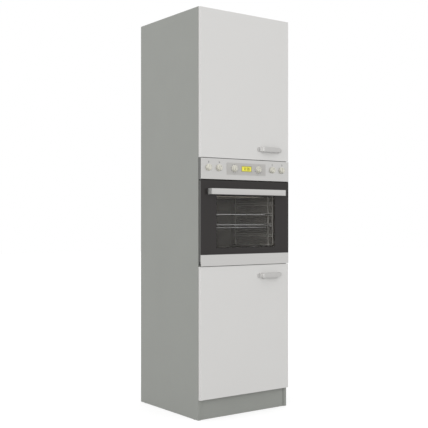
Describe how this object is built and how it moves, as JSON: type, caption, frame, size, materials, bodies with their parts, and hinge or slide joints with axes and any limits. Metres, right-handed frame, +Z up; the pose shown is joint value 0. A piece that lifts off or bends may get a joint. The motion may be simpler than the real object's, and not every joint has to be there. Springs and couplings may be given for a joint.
{
  "type": "tall oven housing cabinet",
  "caption": "Tall kitchen cabinet with a built-in oven between a lower and an upper hinged door, on a recessed plinth.",
  "frame": {"origin": "on the floor, at the middle of the whole object's width and depth", "axes": "+X to the right seen from the front, +Y to the back, +Z up; the doors face -Y"},
  "size_m": [0.6, 0.621, 2.14],
  "materials": {
    "carcass_laminate": "grey melamine-faced board, satin",
    "white_lacquer": "white high-gloss lacquer on fibreboard",
    "back_fibreboard": "thin painted hardboard",
    "fascia_steel": "fine satin steel",
    "insert_grey": "grey satin panel",
    "display_lens": "lit clock window",
    "satin_handle": "satin nickel",
    "oven_handle_aluminium": "satin anodised",
    "knob_silver": "silver paint",
    "dark_glass": "smoked glass",
    "clear_glass": "float glass",
    "cavity_enamel": "speckled vitreous enamel",
    "frame_enamel": "black enamel",
    "galvanised_sheet": "galvanised",
    "chromed_wire": "chromed wire",
    "tray_enamel": "black enamel",
    "element_steel": "heat-darkened tube",
    "gasket_rubber": "fibreglass and silicone",
    "mineral_wool": "felted mineral wool",
    "profile_steel": "black painted steel",
    "hinge_nickel": "nickel-plated steel",
    "zinc_fitting": "zinc plated",
    "glide_plastic": "moulded",
    "fan_steel": "pressed aluminium"
  },
  "bodies": {
    "cabinet": {"left_side_panel": "carcass_laminate", "right_side_panel": "carcass_laminate", "top_panel": "carcass_laminate", "bottom_panel": "carcass_laminate", "oven_shelf": "carcass_laminate", "upper_floor_panel": "carcass_laminate", "plinth_board": "carcass_laminate", "upper_shelf": "carcass_laminate", "lower_shelf": "carcass_laminate", "upper_back_panel": "back_fibreboard", "lower_back_panel": "back_fibreboard", "shelf_pins": "zinc_fitting", "cam_locks": "zinc_fitting", "wall_brackets": "zinc_fitting", "floor_glides": "glide_plastic", "hinge_plates": "hinge_nickel", "hinge_plate_screws": "hinge_nickel", "hinge_arms": "hinge_nickel", "oven_base_pan": "galvanised_sheet", "oven_top_cover": "galvanised_sheet", "oven_side_casings": "galvanised_sheet", "oven_rear_cover": "galvanised_sheet", "oven_front_frame": "frame_enamel", "oven_fixing_screws": "zinc_fitting", "oven_cavity": "cavity_enamel", "cavity_insulation": "mineral_wool", "door_gasket": "gasket_rubber", "left_side_rack": "chromed_wire", "right_side_rack": "chromed_wire", "wire_shelf": "chromed_wire", "baking_tray": "tray_enamel", "grill_element": "element_steel", "lamp_lens": "clear_glass", "fan_cover": "cavity_enamel", "fan_motor": "galvanised_sheet", "control_panel": "fascia_steel", "control_insert": "insert_grey", "clock_display": "display_lens"},
    "upper_door": {"upper_door_panel": "white_lacquer", "upper_door_handle": "satin_handle", "upper_hinge_cups": "hinge_nickel", "upper_door_screws": "zinc_fitting"},
    "lower_door": {"lower_door_panel": "white_lacquer", "lower_door_handle": "satin_handle", "lower_hinge_cups": "hinge_nickel", "lower_door_screws": "zinc_fitting"},
    "oven_door": {"oven_door_glass": "dark_glass", "oven_door_trim": "fascia_steel", "oven_door_frame": "profile_steel", "oven_inner_pane": "clear_glass", "oven_door_handle": "oven_handle_aluminium", "oven_hinge_arms": "zinc_fitting"},
    "fan": {"fan_impeller": "fan_steel"},
    "hob_knob_far_left": {"hob_knob_far_left": "knob_silver"},
    "hob_knob_left": {"hob_knob_left": "knob_silver"},
    "function_knob": {"function_knob": "knob_silver"},
    "temperature_knob": {"temperature_knob": "knob_silver"},
    "hob_knob_right": {"hob_knob_right": "knob_silver"},
    "hob_knob_far_right": {"hob_knob_far_right": "knob_silver"}
  },
  "joints": [
    {"name": "upper_door_swing", "type": "hinge", "parent": "cabinet", "child": "upper_door", "pos_m": [-0.2985, -0.2765, 1.7495], "axis": [0, 0, -1], "range_deg": [0, 105], "stiffness_Nm_per_rad": 0.4, "springref_deg": -57.3},
    {"name": "lower_door_swing", "type": "hinge", "parent": "cabinet", "child": "lower_door", "pos_m": [-0.2985, -0.2765, 0.451], "axis": [0, 0, -1], "range_deg": [0, 105], "stiffness_Nm_per_rad": 0.4, "springref_deg": -57.3},
    {"name": "oven_door_swing", "type": "hinge", "parent": "cabinet", "child": "oven_door", "pos_m": [0, -0.2725, 0.808], "axis": [1, 0, 0], "range_deg": [0, 90], "stiffness_Nm_per_rad": 4, "springref_deg": -28.65},
    {"name": "hob_knob_far_left_turn", "type": "hinge", "parent": "cabinet", "child": "hob_knob_far_left", "pos_m": [-0.248, -0.2795, 1.31], "axis": [0, 1, 0], "range_deg": [0, 270]},
    {"name": "hob_knob_left_turn", "type": "hinge", "parent": "cabinet", "child": "hob_knob_left", "pos_m": [-0.181, -0.2795, 1.31], "axis": [0, 1, 0], "range_deg": [0, 270]},
    {"name": "function_knob_turn", "type": "hinge", "parent": "cabinet", "child": "function_knob", "pos_m": [-0.081, -0.2795, 1.31], "axis": [0, 1, 0], "continuous": true},
    {"name": "temperature_knob_turn", "type": "hinge", "parent": "cabinet", "child": "temperature_knob", "pos_m": [0.081, -0.2795, 1.31], "axis": [0, 1, 0], "range_deg": [0, 270]},
    {"name": "hob_knob_right_turn", "type": "hinge", "parent": "cabinet", "child": "hob_knob_right", "pos_m": [0.181, -0.2795, 1.31], "axis": [0, 1, 0], "range_deg": [0, 270]},
    {"name": "hob_knob_far_right_turn", "type": "hinge", "parent": "cabinet", "child": "hob_knob_far_right", "pos_m": [0.248, -0.2795, 1.31], "axis": [0, 1, 0], "range_deg": [0, 270]},
    {"name": "fan_spin", "type": "hinge", "parent": "cabinet", "child": "fan", "pos_m": [0, 0.1575, 1.0345], "axis": [0, 1, 0], "continuous": true}
  ]
}
